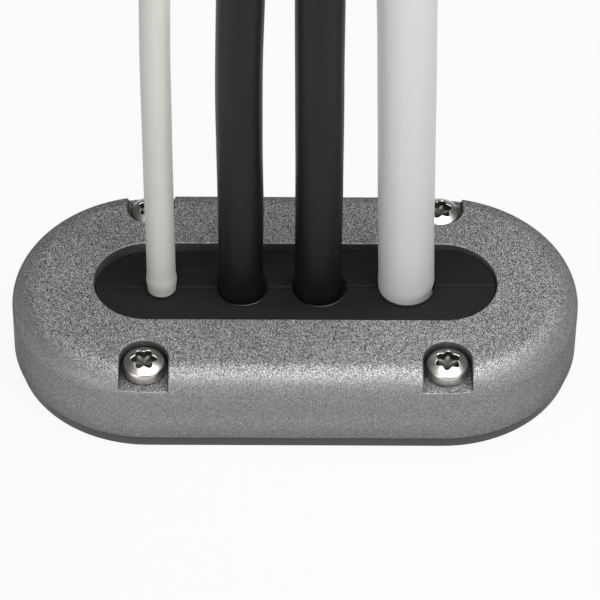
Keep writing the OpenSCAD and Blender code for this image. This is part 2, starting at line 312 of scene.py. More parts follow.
# %% Cable routes, and rings along them
ROUTES = {
    "cable_thin_grey": [[-31, 0, -8], [-31, 0, 12], [-31, 0, 32], [-31, 0, 52], [-30.9, 0, 72],
                        [-30.8, 0, 92], [-30.3, 0, 114]],
    "cable_black_left": [[-12.7, 0, -8], [-12.7, 0, 20], [-12.6, 0, 45], [-12.8, 0, 65],
                         [-12.8, 0, 85], [-12.4, 0, 104], [-12.1, 0, 116]],
    "cable_black_right": [[5.1, 0, -8], [5.1, 0, 20], [5.1, 0, 44], [4.9, 0, 68], [4.6, 0, 92],
                          [4.4, 0, 116]],
    "cable_thick_white": [[25.7, 0, -8], [25.7, 0, 18], [24.9, 0, 42], [24.1, 0, 68],
                          [23.3, 0, 93], [22.4, 0, 117]],
}
SEAL_FACE = 20.1         # height at which the cables leave the seal
ROUTE_POINTS, JACKET_SIDES = 150, 48     # rings along a cable, and points round it


def smooth_route(route, count):
    """Points on a smooth curve through a route's corners. Between two corners it is the cubic
    whose slope at each corner is half the step from the corner before to the corner after."""
    corners = np.array(route, float)
    reach = np.vstack([2 * corners[0] - corners[1], corners, 2 * corners[-1] - corners[-2]])
    along = np.linspace(0, len(corners) - 1, count)
    span = np.minimum(along.astype(int), len(corners) - 2)
    f = (along - span)[:, None]
    p0, p1, p2, p3 = (reach[span + i] for i in range(4))
    return 0.5 * (2 * p1 + (p2 - p0) * f + (2 * p0 - 5 * p1 + 4 * p2 - p3) * f ** 2
                  + (3 * p1 - p0 - 3 * p2 + p3) * f ** 3)


def level_rings(centres, radii, sides=JACKET_SIDES):
    """Rings round centres: centre + radius * (cos a, sin a, 0). A radius may differ by angle."""
    angle = np.arange(sides) * 2 * np.pi / sides
    circle = np.stack([np.cos(angle), np.sin(angle), 0 * angle], -1)
    return centres[:, None] + np.broadcast_to(radii, (len(centres), sides))[..., None] * circle


print("routes:", ", ".join(ROUTES))

# %% The shape of a cable, with its cut ends
CUT_EDGE = 0.25          # the rounding of the jacket's cut edge
CUT_DEPTH = 0.6          # how far the filling lies below the cut
WANDER, WANDER_TALL = 0.005, 9.0         # share of the radius that wanders, and over what height
SWELL_UP, SWELL_TALL = 2.6, 1.5          # a swelling's middle above the seal, and its height


def jacket(route, diameter, wall, nicks=(), swell=0.0):
    """A cable's closed skin. Its radius is that of the jacket, with a slow wander of half a
    percent, a swelling just above the seal that squeezes it, and nicks: shallow dents that fade
    away with height and with the angle round the cable. Each end turns in over its wall."""
    centres = smooth_route(route, ROUTE_POINTS)
    angle = np.arange(JACKET_SIDES) * 2 * np.pi / JACKET_SIDES
    z = centres[:, 2:3]
    radii = diameter / 2 * (1 - WANDER * np.sin(z / WANDER_TALL + diameter) ** 2) + 0 * angle
    radii = radii + swell * np.exp(-((z - SEAL_FACE - SWELL_UP) / SWELL_TALL) ** 2)
    for height, deep, tall, faces in nicks:
        facing = (1 + np.cos(angle - np.radians(faces))) / 2
        radii = radii - deep * np.exp(-((z - height) / tall) ** 2) * facing ** 2
    # at a cut, from outside inwards: the rounded edge, the jacket's wall, and the filling
    inset = np.array([0.0, 0.07, CUT_EDGE, wall, wall + 0.05, wall + 0.6])
    drop = np.array([CUT_EDGE, 0.07, 0.0, 0.0, CUT_DEPTH, CUT_DEPTH])
    top = centres[-1] - drop[:, None] * [0, 0, 1]
    foot = (centres[0] + drop[:, None] * [0, 0, 1])[::-1]
    ends = radii.mean()
    rings = np.concatenate([level_rings(foot, (ends - inset[::-1])[:, None]),
                            level_rings(centres, radii)[2:-2],
                            level_rings(top, (ends - inset)[:, None])])
    return centres, rings


# %% The cores in a cable
CORE_SIDES, CORE_TURN = 24, 0.4          # points round a core, and the first core's angle
CORE_LENGTH, CORE_EDGE = 4.0, 0.08       # how far a core is made inwards, and its cut edge
COPPER_MATERIAL, CORE_MATERIAL = 1, 2    # places of these in a cable's list of materials


def core_parts(centres, count, spread, insulated, bare):
    """The cores that show in a cable's two cuts, as short closed rods: the insulation of each,
    and in it the conductor, which stands a little prouder. They lie evenly round the middle, on
    a circle whose radius is the spread."""
    parts = []
    for end, inwards in ((centres[0], 1), (centres[-1], -1)):
        for k in range(count):
            turn = 2 * np.pi * k / count + CORE_TURN
            middle = end + spread * np.array([np.cos(turn), np.sin(turn), 0])
            for radius, below, material in ((insulated, 0.25, CORE_MATERIAL + k),
                                            (bare, 0.12, COPPER_MATERIAL)):
                heights = np.array([CORE_LENGTH, below + CORE_EDGE, below]) * inwards
                insets = np.array([0, 0, CORE_EDGE])
                if inwards > 0:
                    heights, insets = heights[::-1], insets[::-1]
                rod = middle + heights[:, None] * [0, 0, 1]
                rings = level_rings(rod, (radius - insets)[:, None], CORE_SIDES)
                parts.append((*wrap(rings), material))
    return parts


# %% Finishes of the cables
jacket_grey = make_finish("grey_jacket", (0.55, 0.54, 0.50), 0.42, (900.0, 0.05, 0.04), 0.010,
                          (40.0, 0.05))
jacket_black = make_finish("black_jacket", (0.006, 0.006, 0.006), 0.45, (900.0, 0.05, 0.10),
                           0.012, (45.0, 0.15), Specular_IOR_Level=0.27)
jacket_white = make_finish("white_jacket", (0.565, 0.565, 0.575), 0.40, (800.0, 0.05, 0.03), 0.010,
                           (35.0, 0.04))
copper = make_finish("tinned_copper", (0.66, 0.55, 0.46), 0.35, (5000.0, 1.0, 0.2), 0.03,
                     (400.0, 0.1), Metallic=1.0)
CORES = {"red_core": (0.38, 0.03, 0.03), "blue_core": (0.03, 0.08, 0.32),
         "pale_core": (0.62, 0.62, 0.58)}
core_red, core_blue, core_pale = (
    make_finish(name, colour, 0.45, (1500.0, 1.0, 0.05), 0.01, (100.0, 0.05))
    for name, colour in CORES.items())
print("core finishes:", ", ".join(CORES))

# %% The four cables
CABLES = [
    # piece, node, slot, jacket, diameter, wall, cores: count, spread, insulated and bare radius
    ("thin_grey_cable", "cable_thin_grey", "jacket_grey", jacket_grey, 6.7, 0.9,
     (1, 0.0, 1.6, 0.5)),
    ("left_black_cable", "cable_black_left", "jacket_black", jacket_black, 10.4, 1.1,
     (3, 2.1, 1.8, 1.05)),
    ("right_black_cable", "cable_black_right", "jacket_black", jacket_black, 10.8, 1.1,
     (3, 2.25, 1.9, 1.1)),
    ("thick_white_cable", "cable_thick_white", "jacket_white", jacket_white, 12.9, 1.3,
     (3, 2.7, 2.3, 1.3)),
]
# nicks: height, depth, height of the dent, and the angle that it faces
NICKS = {"left_black_cable": [(66.0, 0.12, 0.7, -110)],
         "thick_white_cable": [(20.4, 0.6, 1.6, 0)]}
SWELLS = {"thin_grey_cable": 0.22, "thick_white_cable": 0.1}

for name, node, slot, finish, diameter, wall, cores in CABLES:
    centres, rings = jacket(ROUTES[node], diameter, wall, NICKS.get(name, ()),
                            SWELLS.get(name, 0.0))
    piece = make_piece(name, [(*wrap(rings), 0), *core_parts(centres, *cores)],
                       [finish, copper, core_pale, core_red, core_blue], node)

# %% [markdown]
# ## The cast cover: one height for every place
# The cover is a shell with a flat top that rolls over into its side wall, cut by a slot and by
# four pockets for the screws. A bevel modifier can't round such a casting well: the pockets run
# out through the rolled edge, and a bevel tears where they meet. But seen from above, the skin
# has just one height at each place, so it can be written as a function: the rolled top, lowered
# to the floor in a pocket, with a small rounding at each edge. The CAD mesh keeps the inside.

# %% The cover's sizes
cover_low, cover_high = np.array(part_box("deck_cover")) / MM
FOOT_R = cover_high[1]                   # half the width at the foot
END_X = cover_high[0] - FOOT_R           # where the round ends have their centres
FOOT_Z, TOP_Z = cover_low[2], cover_high[2]
EDGE_RUN, EDGE_DROP = 6.5, 6.0           # how far the rolled edge reaches in, and drops
DRAFT = np.radians(1)                    # lean of the cast side wall
SHOULDER_Z = TOP_Z - EDGE_DROP
SHOULDER_R = FOOT_R - (SHOULDER_Z - FOOT_Z) * np.tan(DRAFT)
SLOT_X, SLOT_R = 34.3, 12.4              # end centres and half width of the slot
SCREW_X, SCREW_Y = 34.3, 24.8
POCKET_R, FLOOR_Z = 5.6, 18.0
HOLE_R = 2.7
RIM, FILLET, WALL_LEAN = 0.3, 0.3, 0.12  # rounding, floor fillet and lean of a pocket's wall
SLOT_RIM, FOOT_ROUND = 0.3, 0.3
LIP = 0.3                                # rounding where a pocket's floor runs out at the front
LIP_LEAD = 0.2                           # how far inside the roll that rounding starts
SLOT_FOOT_Z = TOP_Z - 3                  # lower edge of the slot's wall, where the inside starts
SAME = 1e-3                              # points closer than this are one point


def past_line(x, y, end_x):
    """Distance from the straight line between two end centres at -end_x and end_x."""
    return np.hypot(np.maximum(np.abs(x) - end_x, 0), y)


def past_pocket(x, y):
    """Distance outside the nearest pocket's U, negative in it: round the screw's centre on the
    inner side, and straight out from there on the outer side."""
    across = np.abs(x) - SCREW_X
    inwards = np.maximum(SCREW_Y - np.abs(y), 0)
    return np.hypot(across, inwards) - POCKET_R


def rounding(share):
    """Drop of a quarter circle of radius 1, from 0 where share is 0 to 1 where share is 1."""
    return 1 - np.sqrt(1 - np.clip(share, 0, 1) ** 2)


print(f"cover {2 * cover_high[0]:.1f} by {2 * FOOT_R:.1f} mm, up to {TOP_Z:.1f} mm")

# %% The height of the cover's skin
def rolled_top(r):
    """The flat top, then a quarter ellipse down to the shoulder, by distance from the line."""
    return TOP_Z - EDGE_DROP * rounding((r - SHOULDER_R + EDGE_RUN) / EDGE_RUN)


def reach_at(z):
    """The distance at which the rolled edge is at a height: the ellipse solved for distance."""
    return SHOULDER_R - EDGE_RUN + EDGE_RUN * np.sqrt(1 - ((z - SHOULDER_Z) / EDGE_DROP) ** 2)


LIP_START, LIP_END = reach_at(FLOOR_Z) - LIP_LEAD, reach_at(FLOOR_Z - LIP)


def pocket_floor(r):
    """The level floor of a pocket, which rounds over into the side wall at its front."""
    floor = FLOOR_Z - LIP * rounding((r - LIP_START) / (LIP_END - LIP_START))
    return np.where(r < LIP_END, np.minimum(floor, rolled_top(r)), rolled_top(r))


def cover_height(x, y):
    """The rolled top outside a pocket and the floor in it. Between them, from outside inwards,
    lie a rounding, a wall that leans a little, and a fillet. Where the floor nears the top, as
    at the front, the rounding and the fillet shrink together. The slot's edge is rounded too."""
    r = past_line(x, y, END_X)
    top, floor = rolled_top(r), pocket_floor(r)
    scale = np.clip((top - floor) / (RIM + FILLET), 0, 1)
    d = past_pocket(x, y)
    rim = top - scale * RIM * rounding(1 - d / RIM)
    foot = floor + scale * FILLET * rounding((d + WALL_LEAN + FILLET) / FILLET)
    climb = np.clip(1 + d / WALL_LEAN, 0, 1)
    wall = (1 - climb) * (floor + scale * FILLET) + climb * (top - scale * RIM)
    height = np.where(d >= 0, rim, np.where(d >= -WALL_LEAN, wall, foot))
    return height - SLOT_RIM * rounding(1 - (past_line(x, y, SLOT_X) - SLOT_R) / SLOT_RIM)


print(f"shoulder {SHOULDER_R:.3f} mm out; floor's front edge {LIP_END:.3f} mm out")

# %% [markdown]
# ## The inside of the cover
# The CAD mesh is a set of loose triangles. A copy of it is merged, and its outer faces are taken
# away: the wall, the top, the pockets and the slot's rim. What is left is the cavity with its
# collar, bosses and ribs, and it ends in open loops at the foot, the slot and the screw holes.
# The new skin has to meet those loops point for point, so the loops give the skin its stations.

# %% The inside
def cad_shell(node):
    """A CAD node's mesh as an editable shell in mm, with its loose triangles joined."""
    shell = bmesh.new()
    shell.from_mesh(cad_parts[node].data)
    bmesh.ops.scale(shell, vec=(1 / MM,) * 3, verts=shell.verts)
    bmesh.ops.remove_doubles(shell, verts=shell.verts, dist=SAME)
    return shell


inside = cad_shell("deck_cover")
x, y, z = np.array([face.calc_center_median() for face in inside.faces]).T
inside.normal_update()
climb = np.array([face.normal.z for face in inside.faces])
NEAR_WALL = 0.3          # a face whose middle is this near a wall is on it
HAIR = 0.01              # less than any real step of the shape
outer_wall = (past_line(x, y, END_X) > SHOULDER_R - 1) & (z > FOOT_Z + HAIR)
upward = (climb > 0.01) & (z > FLOOR_Z - 1.5)
pocket_wall = (np.abs(past_pocket(x, y)) < NEAR_WALL) & (z > FLOOR_Z) & (np.abs(climb) < 0.1)
slot_wall = (np.abs(past_line(x, y, SLOT_X) - SLOT_R) < NEAR_WALL) & (z > FLOOR_Z + 1)
outer = outer_wall | upward | pocket_wall | slot_wall
bmesh.ops.delete(inside, geom=[face for face, gone in zip(inside.faces, outer) if gone],
                 context="FACES")
for face in inside.faces:
    face.smooth = False
print(int(outer.sum()), "outer faces taken away,", len(inside.faces), "left inside")


# %% The loops where the inside ends
def open_edges(height):
    """The edges of the inside, at a height, that have a face on one side only."""
    return [edge for edge in inside.edges
            if edge.is_boundary and all(abs(v.co.z - height) < HAIR for v in edge.verts)]


def stations(points, end_x):
    """For points round a racetrack, in order: their nearest points on the line between its end
    centres, and the level directions from there."""
    points = points[np.argsort(np.arctan2(points[:, 1], points[:, 0]))]
    base = np.stack([np.clip(points[:, 0], -end_x, end_x), 0 * points[:, 0]], -1)
    out = points[:, :2] - base
    return base, out / np.linalg.norm(out, axis=1, keepdims=True)


def refined_loop(height, end_x, radius, spacing):
    """Halves the open edges at a height until none is longer than a spacing, and moves their
    loop onto a true racetrack of a radius."""
    while long := [edge for edge in open_edges(height) if edge.calc_length() > spacing]:
        bmesh.ops.bisect_edges(inside, edges=long, cuts=1)
    loop = {v for edge in open_edges(height) for v in edge.verts}
    for v in loop:
        near = min(max(v.co.x, -end_x), end_x)
        out = np.array([v.co.x - near, v.co.y])
        v.co.x, v.co.y = np.array([near, 0]) + out / np.linalg.norm(out) * radius
    return stations(np.array([v.co for v in loop]), end_x)


FOOT_SPACING, SLOT_SPACING = 1.2, 0.7    # the longest edge that is left in each loop
foot_base, foot_out = refined_loop(FOOT_Z, END_X, FOOT_R - FOOT_ROUND, FOOT_SPACING)
slot_base, slot_out = refined_loop(SLOT_FOOT_Z, SLOT_X, SLOT_R, SLOT_SPACING)
hole_points = np.array([v.co for v in {v for edge in open_edges(FLOOR_Z) for v in edge.verts}])
print(len(foot_base), "stations at the foot,", len(slot_base), "at the slot,",
      len(hole_points), "round the screw holes")

# %% [markdown]
# ## Curves that the skin must follow
# A plain grid would cut across the edges of the pockets. So the skin is a triangulation in plan
# that is forced to follow curves: rings along the rolled edge, spaced so that each turns the
# surface by the same angle, and offset copies of each pocket's U, close together where the
# surface turns fast. Blender's constrained triangulation does exactly this.

# %% The curves
ARC_POINTS, LEG_POINTS = 49, 9           # points on a pocket's half circle, and on each leg
EQUAL_TURNS = np.radians(np.linspace(90, 0, 19))
run_of_turn = np.cos(np.arctan2(EDGE_DROP * np.sin(EQUAL_TURNS), EDGE_RUN * np.cos(EQUAL_TURNS)))
edge_rings = SHOULDER_R - EDGE_RUN + EDGE_RUN * run_of_turn
QUARTER = np.sin(np.radians([0, 22, 45, 67, 90]))
lip_rings = LIP_START + (LIP_END - LIP_START) * QUARTER
pocket_offsets = np.concatenate([RIM * (1 - QUARTER), -WALL_LEAN - FILLET * (1 - QUARTER)])


def pocket_curve(offset, side_x, side_y):
    """A pocket's U moved outwards by an offset: in from the shoulder, half round, out again."""
    radius = POCKET_R + offset
    half = np.linspace(0, np.pi, ARC_POINTS)
    arc = np.stack([radius * np.cos(half), -radius * np.sin(half)], -1)
    legs = []
    for leg_x in (radius, -radius):
        over = max(SCREW_X + leg_x - END_X, 0)
        far = np.sqrt((SHOULDER_R - 0.05) ** 2 - over ** 2) - SCREW_Y
        leg_y = np.linspace(far, 0, LEG_POINTS + 1)[:-1]
        legs.append(np.stack([np.full(LEG_POINTS, leg_x), leg_y], -1))
    curve = np.vstack([legs[0], arc, legs[1][::-1]]) + [SCREW_X, SCREW_Y]
    return curve * [side_x, side_y]


curves = [(foot_base + foot_out * r, True) for r in np.append(edge_rings, lip_rings)]
curves += [(slot_base + slot_out * (SLOT_R + SLOT_RIM * (1 - q)), True) for q in QUARTER]
for side_x in (-1, 1):
    for side_y in (-1, 1):
        curves += [(pocket_curve(offset, side_x, side_y), False) for offset in pocket_offsets]
        hole = hole_points[(hole_points[:, 0] * side_x > 0) & (hole_points[:, 1] * side_y > 0), :2]
        around = hole - [side_x * SCREW_X, side_y * SCREW_Y]
        curves.append((hole[np.argsort(np.arctan2(around[:, 1], around[:, 0]))], True))
print(len(curves), "curves")

# %% The triangulated skin in plan, lifted to its heights
points, edges, start = [], [], 0
for curve, closed in curves:
    ahead = np.arange(len(curve) if closed else len(curve) - 1)
    edges.append(start + np.stack([ahead, (ahead + 1) % len(curve)], -1))
    points.append(curve)
    start += len(curve)
points, edges = np.vstack(points), np.vstack(edges)
crosses_hole = (past_line(*points.T, END_X) < LIP_START - 0.1) & (past_pocket(*points.T) < -1.5) \
    & (np.hypot(np.abs(points[:, 0]) - SCREW_X, np.abs(points[:, 1]) - SCREW_Y) > HOLE_R + HAIR)
edges = edges[~crosses_hole[edges].any(1)]
plan, _, triangles, sources, *_ = delaunay_2d_cdt(points.tolist(), edges.tolist(), [], 0, 1e-5)
plan, triangles = np.array(plan), np.array(triangles)
kept = np.array([source[0] if source else -1 for source in sources])
plan[kept >= 0] = points[kept[kept >= 0]]     # the triangulation rounds its points a little
cx, cy = plan[triangles].mean(1).T
in_slot = past_line(cx, cy, SLOT_X) < SLOT_R
in_hole = np.hypot(np.abs(cx) - SCREW_X, np.abs(cy) - SCREW_Y) < HOLE_R
triangles = triangles[~in_slot & ~in_hole]
skin = np.column_stack([plan, cover_height(*plan.T)])
print(len(skin), "points and", len(triangles), "triangles in the skin")


# %% The side wall and the slot's wall
def band(loops):
    """Points and faces of a strip over loops of equal length, each below the one before it. The
    loops run anticlockwise, and the faces look away from the middle."""
    count, sides = loops.shape[:2]
    row = np.arange(count - 1)[:, None] * sides
    here = np.arange(sides)
    there = (here + 1) % sides
    faces = np.stack([row + here, row + sides + here, row + sides + there, row + there], -1)
    return loops.reshape(-1, 3), faces.reshape(-1, 4)


def loop_at(base, out, radius, height):
    """A level loop of points: each base point plus its direction out, times the radius."""
    return np.column_stack([base + out * radius, np.full(len(base), height)])


wall_heights = np.linspace(SHOULDER_Z, FOOT_Z + FOOT_ROUND, 6)
wall_loops = [loop_at(foot_base, foot_out, SHOULDER_R + (SHOULDER_Z - h) * np.tan(DRAFT), h)
              for h in wall_heights]
wall_loops += [loop_at(foot_base, foot_out, FOOT_R - FOOT_ROUND * rounding(q),
                       FOOT_Z + FOOT_ROUND * (1 - q)) for q in QUARTER[1:]]
slot_loops = [loop_at(slot_base, slot_out, SLOT_R, h) for h in (TOP_Z - SLOT_RIM, SLOT_FOOT_Z)]
print(len(wall_loops), "loops down the side wall,", len(slot_loops), "down the slot's wall")

# %% [markdown]
# ## Joining skin and inside
# The skin is added to the inside and their loops are merged. Smooth shading alone would smear
# light over the flat top, because Blender averages the faces round a point. So every point of
# the skin gets the true direction of its surface, taken from the slope of the height function.

# %% The joined cover
def add_faces(shell, points, faces):
    """Adds points and smooth faces to a shell."""
    made = [shell.verts.new(point) for point in points]
    for face in faces:
        shell.faces.new([made[corner] for corner in face]).smooth = True


slot_points, slot_faces = band(np.array(slot_loops))
for points, faces in ((skin, triangles), band(np.array(wall_loops)),
                      (slot_points, slot_faces[:, ::-1])):
    add_faces(inside, points.tolist(), faces.tolist())
bmesh.ops.remove_doubles(inside, verts=inside.verts, dist=SAME)
bmesh.ops.scale(inside, vec=(MM,) * 3, verts=inside.verts)
cover_mesh = bpy.data.meshes.new("cast_cover")
inside.to_mesh(cover_mesh)
inside.free()
print("cover:", len(cover_mesh.vertices), "points,", len(cover_mesh.polygons), "faces")


# %% The true directions of the skin
def skin_normals(points):
    """Directions of the cover's skin. On the top they come from the height's slopes in X and Y.
    On the side wall they point out with the draft, on its rounded foot they turn downwards, and
    on the slot's wall they point into the slot."""
    x, y, z = points.T
    step = 0.002
    slope = [(cover_height(x + dx, y + dy) - cover_height(x - dx, y - dy)) / (2 * step)
             for dx, dy in ((step, 0), (0, step))]
    normals = np.stack([-slope[0], -slope[1], np.ones(len(x))], -1)
    normals /= np.linalg.norm(normals, axis=1, keepdims=True)
    base = np.stack([np.clip(x, -END_X, END_X), 0 * y], -1)
    out = points[:, :2] - base
    out /= np.maximum(np.linalg.norm(out, axis=1, keepdims=True), 1e-9)
    low = np.clip((FOOT_Z + FOOT_ROUND - z) / FOOT_ROUND, 0, 1)
    tilt = np.where(low > 0, -np.arcsin(low), DRAFT)
    on_wall = (z < SHOULDER_Z + SAME) & (past_line(x, y, END_X) > SHOULDER_R - 0.5)
    normals[on_wall] = np.column_stack([out * np.cos(tilt)[:, None], np.sin(tilt)])[on_wall]
    base = np.stack([np.clip(x, -SLOT_X, SLOT_X), 0 * y], -1)
    inwards = (base - points[:, :2]) / SLOT_R
    in_slot = (past_line(x, y, SLOT_X) < SLOT_R + SAME) & (z < TOP_Z - SLOT_RIM + SAME)
    normals[in_slot] = np.column_stack([inwards, 0 * x])[in_slot]
    return normals


corner_points = np.empty(len(cover_mesh.vertices) * 3)
cover_mesh.vertices.foreach_get("co", corner_points)
of_corner = np.empty(len(cover_mesh.loops), np.int32)
cover_mesh.loops.foreach_get("vertex_index", of_corner)
smooth = np.empty(len(cover_mesh.polygons), bool)
cover_mesh.polygons.foreach_get("use_smooth", smooth)
sizes = np.empty(len(cover_mesh.polygons), np.int32)
cover_mesh.polygons.foreach_get("loop_total", sizes)
normals = skin_normals(corner_points.reshape(-1, 3) / MM)[of_corner]
normals[~np.repeat(smooth, sizes)] = 0
cover_mesh.normals_split_custom_set(normals.tolist())
print(int(smooth.sum()), "faces shaded by the skin's own directions")

# %% The cover's finish
# the cover's colour carries painted sparkle in its grain and painted shade in hollows within 10 mm
cast_metal = make_finish("cast_metal", (0.265, 0.265, 0.265), 0.57, (1500.0, 1.0, 0.06), 0.02,
                         (25.0, 0.05), (7800.0, 0.12, 0.98), (0.01, 0.85), Metallic=0.65,
                         Specular_Tint=(0.0, 0.0, 0.0, 1.0))
finish_piece("cast_cover", cover_mesh, [cast_metal], "deck_cover")

# %% [markdown]
# ## Rubber: the two halves of the seal, and the gasket
# The seal is moulded in two halves, so that it closes round cables that already have plugs on.
# Their CAD shape is right, down to the bead round each hole. Moulded rubber has no sharp edge,
# so the flat areas of the CAD mesh are made single faces, and a bevel modifier rounds the rest.

# %% The rubber pieces
def moulded(name, node, finish, round_by):
    """A copy of a CAD node whose edges are rounded by a number of millimetres."""
    shell = cad_shell(node)
    bmesh.ops.dissolve_limit(shell, angle_limit=np.radians(0.3), verts=shell.verts,
                             edges=shell.edges)
    bmesh.ops.scale(shell, vec=(MM,) * 3, verts=shell.verts)
    mesh = bpy.data.meshes.new(name)
    shell.to_mesh(mesh)
    shell.free()
    mesh.shade_smooth()
    piece = finish_piece(name, mesh, [finish], node)
    bevel = piece.modifiers.new("moulded_edges", "BEVEL")
    bevel.width, bevel.segments = round_by * MM, 3
    bevel.limit_method, bevel.angle_limit = "ANGLE", np.radians(30)
    bevel.use_clamp_overlap, bevel.harden_normals = True, True
    return piece


seal_rubber = make_finish("seal_rubber", (0.0095, 0.0095, 0.0095), 0.65, (2600.0, 1.0, 0.6), 0.03,
                          (80.0, 0.2), Specular_IOR_Level=0.15)
gasket_rubber = make_finish("gasket_rubber", (0.05, 0.05, 0.05), 0.5, (1200.0, 1.0, 0.06),
                            0.012, (60.0, 0.08))
SEAL_ROUND, GASKET_ROUND = 0.2, 0.15
moulded("front_seal", "seal_front_half", seal_rubber, SEAL_ROUND)
moulded("back_seal", "seal_back_half", seal_rubber, SEAL_ROUND)
moulded("deck_gasket", "base_gasket", gasket_rubber, GASKET_ROUND)

# %% [markdown]
# ## The rims that shine
# At the front right of each black cable the photograph shows a thin bright arc: the rim of its
# mouth, rubbed smooth by the cable as it was bent over. A brighter colour would look painted.
# A low ridge with a smoother finish catches the lamp instead, and fades out at both its ends.

# %% The rubbed rims of the black cables' mouths
RIM_THICK, RIM_SUNK = 0.24, 0.08         # the ridge's radius, and how deep its middle lies
RIM_SIDES, RIM_STEPS = 16, 49
RIM_FADE, RIM_TIP = 1.5, 0.02            # pushes the thick part on, and what the tips keep
RIM_FROM, RIM_TO = -125, -5              # degrees, from the front left to the right
MOUTHS = [(-12.3, 6.2), (5.5, 6.4)]      # middle and radius of each mouth


def rim_ridge(middle_x, radius, start, end):
    """A tube half sunk in the seal's face. Its middle line is an arc between two angles, and its
    radius swells from near nothing at both ends by the square root of a sine, most of all past
    the middle, because the share of the way goes in with a power."""
    along = np.linspace(0, 1, RIM_STEPS)[:, None]
    angle = np.radians(start + (end - start) * along)
    thick = RIM_THICK * (RIM_TIP + np.sqrt(np.sin(np.pi * along ** RIM_FADE).clip(0)))
    round_it = np.arange(RIM_SIDES) * 2 * np.pi / RIM_SIDES
    reach = radius + thick * np.sin(round_it)
    height = SEAL_FACE - RIM_SUNK + thick * np.cos(round_it)
    return wrap(np.stack([middle_x + reach * np.cos(angle), reach * np.sin(angle), height], -1))


rubbed_rubber = make_finish("rubbed_rubber", (0.015, 0.015, 0.015), 0.3, (2600.0, 1.0, 0.3), 0.01,
                            (400.0, 0.3))
make_piece("rubbed_rims", [(*rim_ridge(*mouth, RIM_FROM, RIM_TO), 0) for mouth in MOUTHS],
           [rubbed_rubber], "seal_front_half")

# %% [markdown]
# ## The screws
# Four stainless pan heads with a six-lobe drive hold the cover down. Head, neck and thread are
# one skin over rings, from the point up, over the head and down into the drive. A ring's radius
# may change round the screw, so the same grid makes the thread and the lobes of the drive.

# %% The sizes of a screw, and its thread
SIDES = 72                               # points round a screw
turn = np.arange(SIDES) * 2 * np.pi / SIDES
CORE_R, CREST_R, PITCH = 1.75, 2.4, 1.8  # the thread's inner and outer radius, and its climb
THREAD, POINT = 12.0, 2.8                # lengths under the deck
THREAD_RINGS, CREST_HALF, THREAD_FADE = 75, 0.24, 0.9
NECK_R, HEAD_R, HEAD_H, STRAIGHT = 2.1, 4.8, 4.2, 2.6    # straight: the head's side wall
DRIVE_R, DRIVE_WAIST, DRIVE_DEPTH = 2.9, 2.1, 2.2        # at its lobes, between them, down
DOME_IN, DRIVE_ROLL = 0.15, 0.22         # where the dome starts, and the drive's rolled edge
rise = HEAD_H - STRAIGHT
DOME_R = (HEAD_R ** 2 + rise ** 2) / (2 * rise)
DOME_Z = FLOOR_Z + HEAD_H - DOME_R


def thread_rings():
    """Radius and height of rings up the thread: a core, plus a crest that stands out where the
    height in pitches, less the turn, is near a whole number and a half. Both narrow to the
    point, and the crest fades in under the deck."""
    z = np.linspace(-THREAD - POINT, 0, THREAD_RINGS)[:, None]
    narrow = np.clip((z + THREAD + POINT) / POINT, 0.08, 1)
    phase = (z / PITCH - turn / (2 * np.pi)) % 1
    crest = np.clip(1 - np.abs(phase - 0.5) / CREST_HALF, 0, 1) * np.clip(-z / THREAD_FADE, 0, 1)
    return narrow * (CORE_R + (CREST_R - CORE_R) * crest), z + 0 * turn


thread_r, thread_z = thread_rings()
print(len(thread_r), "rings in the thread; radius of the head's dome", round(DOME_R, 2), "mm")


# %% The head and its drive
def drive_outline():
    """Radius of the six-lobe drive: from its waist to its lobes by the cosine of six turns."""
    return DRIVE_WAIST + (DRIVE_R - DRIVE_WAIST) * ((1 + np.cos(6 * turn)) / 2) ** 0.8


def dome_height(r):
    """Height of the head's dome, a part of a sphere."""
    return DOME_Z + np.sqrt(DOME_R ** 2 - r ** 2)


def head_rings():
    """Radius and height of rings from the neck over the head into the drive. On the dome a ring
    is a blend of the head's circle and the drive's outline. The drive's edge is rolled, its
    wall narrows downwards, and its floor dips to the middle."""
    below = [(1.75, 0.02 - FLOOR_Z), (NECK_R, 0.2 - FLOOR_Z), (NECK_R, -0.3), (2.25, -0.05),
             (2.5, 0), (4.4, 0), (4.62, 0.05), (HEAD_R - 0.05, 0.18), (HEAD_R, 0.4),
             (HEAD_R - 0.02, STRAIGHT - 0.5), (HEAD_R - 0.06, STRAIGHT - 0.2),
             (HEAD_R - DOME_IN, STRAIGHT)]
    radii = [np.full(SIDES, r) for r, _ in below]
    heights = [np.full(SIDES, FLOOR_Z + h) for _, h in below]
    lobes = drive_outline()
    for share in (0.04, 0.12, 0.25, 0.4, 0.55, 0.7, 0.82, 0.92, 1.0):
        radii.append((1 - share) * (HEAD_R - DOME_IN) + share * (lobes + DRIVE_ROLL))
        heights.append(dome_height(radii[-1]))
    edge = heights[-1]
    for angle in np.radians([20, 40, 60, 80, 90]):
        radii.append(lobes + DRIVE_ROLL * (1 - np.sin(angle)))
        heights.append(edge - DRIVE_ROLL * (1 - np.cos(angle)))
    bottom = FLOOR_Z + HEAD_H - DRIVE_DEPTH
    for narrow, height in ((0.97, bottom + 0.8), (0.95, bottom + 0.2), (0.86, bottom),
                           (0.5, bottom - 0.1), (0.12, bottom - 0.3)):
        radii.append(lobes * narrow)
        heights.append(np.full(SIDES, height))
    return np.array(radii), np.array(heights)


head_r, head_z = head_rings()
print(len(head_r), "rings from the neck to the floor of the drive")

# %% The four screws
radius, height = np.vstack([thread_r, head_r]), np.vstack([thread_z, head_z])
SCREWS = [(-1, -1, 2), (1, -1, 24), (-1, 1, 41), (1, 1, 13)]   # side, side, degrees turned
DRIVE_STEPS = 6          # the last steps between rings line the drive
# the faces of these last steps get a dark steel: painted shade inside the drive
step = np.arange(len(radius) - 1)
drive_shade_faces = np.concatenate([np.repeat(step >= len(step) - DRIVE_STEPS, SIDES),
                           np.zeros(SIDES), np.ones(SIDES)]).astype(int)

